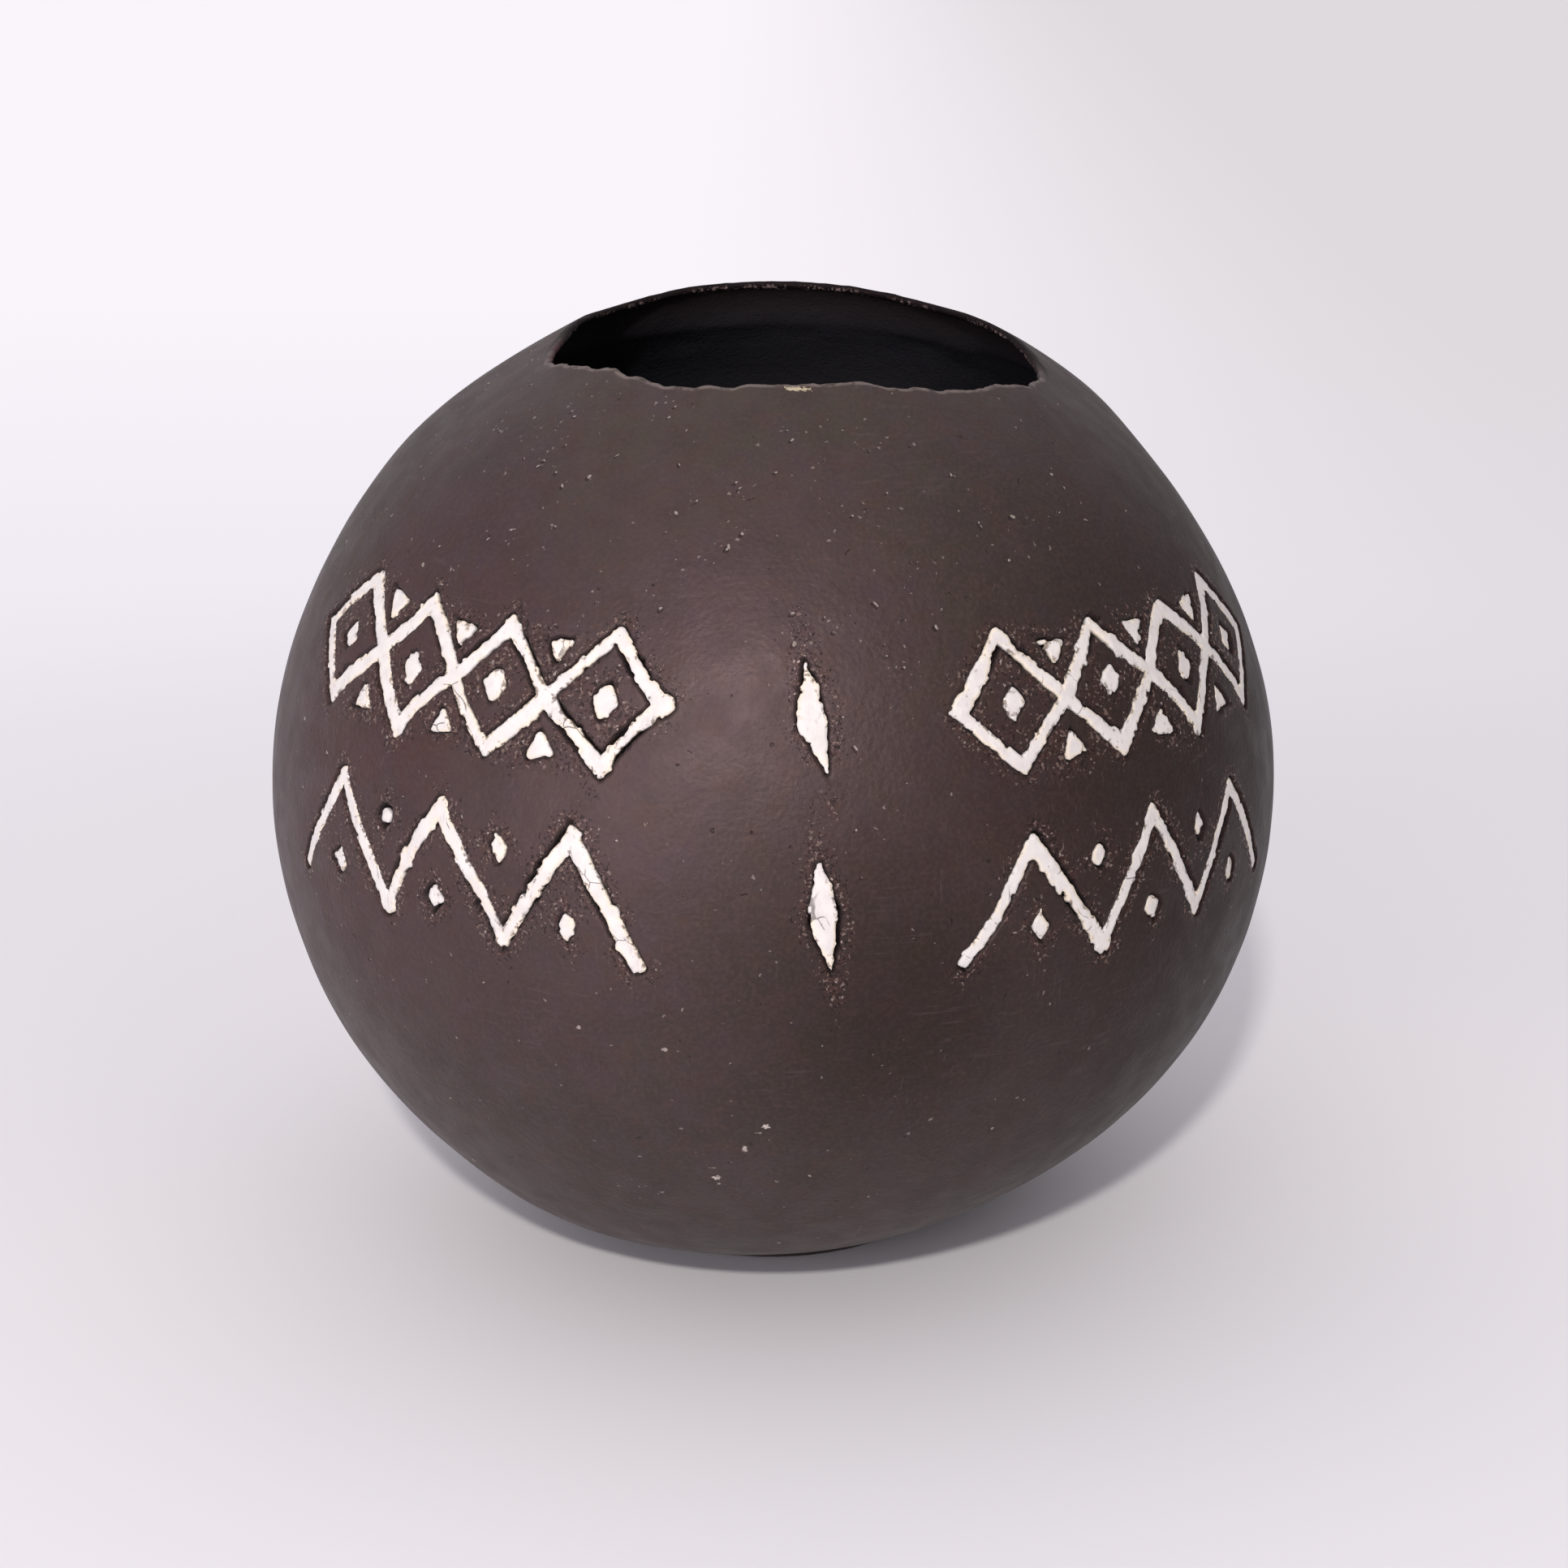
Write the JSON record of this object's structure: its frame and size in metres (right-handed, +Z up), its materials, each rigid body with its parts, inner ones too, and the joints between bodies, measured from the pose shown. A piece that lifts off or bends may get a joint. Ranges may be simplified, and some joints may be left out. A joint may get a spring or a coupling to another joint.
{
  "type": "globular vase",
  "caption": "Hand-built globular stoneware vase with a wide torn mouth and two carved geometric friezes filled with white slip.",
  "frame": {"origin": "centre of the flat base, on the surface that the vase stands on", "axes": "+Z up through the mouth, -Y towards the middle of the carved friezes, +X to their right"},
  "size_m": [0.15, 0.15, 0.1368],
  "materials": {
    "dark_clay": "unglazed burnished brown-grey stoneware, matte with a faint sheen",
    "white_slip": "matte white slip filling in the carved channels"
  },
  "bodies": {
    "root": {"vessel_body": "dark_clay", "lower_left_pip_1": "white_slip", "lower_left_pip_2": "white_slip", "lower_left_pip_3": "white_slip", "lower_left_pip_4": "white_slip", "lower_left_pip_5": "white_slip", "lower_left_zigzag": "white_slip", "lower_right_pip_1": "white_slip", "lower_right_pip_2": "white_slip", "lower_right_pip_3": "white_slip", "lower_right_pip_4": "white_slip", "lower_right_pip_5": "white_slip", "lower_right_zigzag": "white_slip", "lower_spindle": "white_slip", "upper_left_high_dab_1": "white_slip", "upper_left_high_dab_2": "white_slip", "upper_left_high_dab_3": "white_slip", "upper_left_low_dab_1": "white_slip", "upper_left_low_dab_2": "white_slip", "upper_left_low_dab_3": "white_slip", "upper_left_lozenges": "white_slip", "upper_left_pip_1": "white_slip", "upper_left_pip_2": "white_slip", "upper_left_pip_3": "white_slip", "upper_left_pip_4": "white_slip", "upper_right_high_dab_1": "white_slip", "upper_right_high_dab_2": "white_slip", "upper_right_high_dab_3": "white_slip", "upper_right_low_dab_1": "white_slip", "upper_right_low_dab_2": "white_slip", "upper_right_low_dab_3": "white_slip", "upper_right_lozenges": "white_slip", "upper_right_pip_1": "white_slip", "upper_right_pip_2": "white_slip", "upper_right_pip_3": "white_slip", "upper_right_pip_4": "white_slip", "upper_spindle": "white_slip"}
  },
  "joints": []
}
